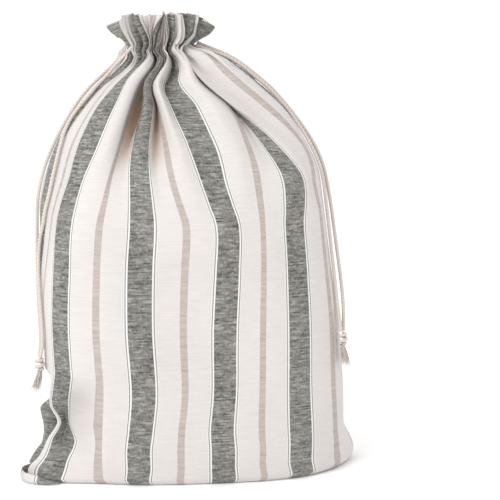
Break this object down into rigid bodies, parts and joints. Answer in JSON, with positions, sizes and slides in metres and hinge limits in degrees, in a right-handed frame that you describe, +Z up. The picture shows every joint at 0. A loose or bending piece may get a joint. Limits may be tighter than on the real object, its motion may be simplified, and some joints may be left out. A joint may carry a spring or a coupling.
{
  "type": "drawstring bread bag",
  "caption": "Striped linen bread bag standing full, its neck drawn shut under a pleated ruffle by cotton cords knotted and frayed at each side.",
  "frame": {"origin": "The middle of the bag's bounding box, on the floor it stands on.", "axes": "+X is the bag's width, to the right seen from its front; +Y runs from its front to its back; +Z is up, from the base to the ruffle."},
  "size_m": [0.2904, 0.1254, 0.3944],
  "materials": {
    "linen": "matte",
    "cotton_cord": "matte"
  },
  "bodies": {
    "root": {"bag": "linen", "cord_left_front": "cotton_cord", "cord_left_back": "cotton_cord", "cord_right_front": "cotton_cord", "cord_right_back": "cotton_cord", "knot_left": "cotton_cord", "knot_right": "cotton_cord", "tails_left": "cotton_cord", "tails_right": "cotton_cord"}
  },
  "joints": []
}
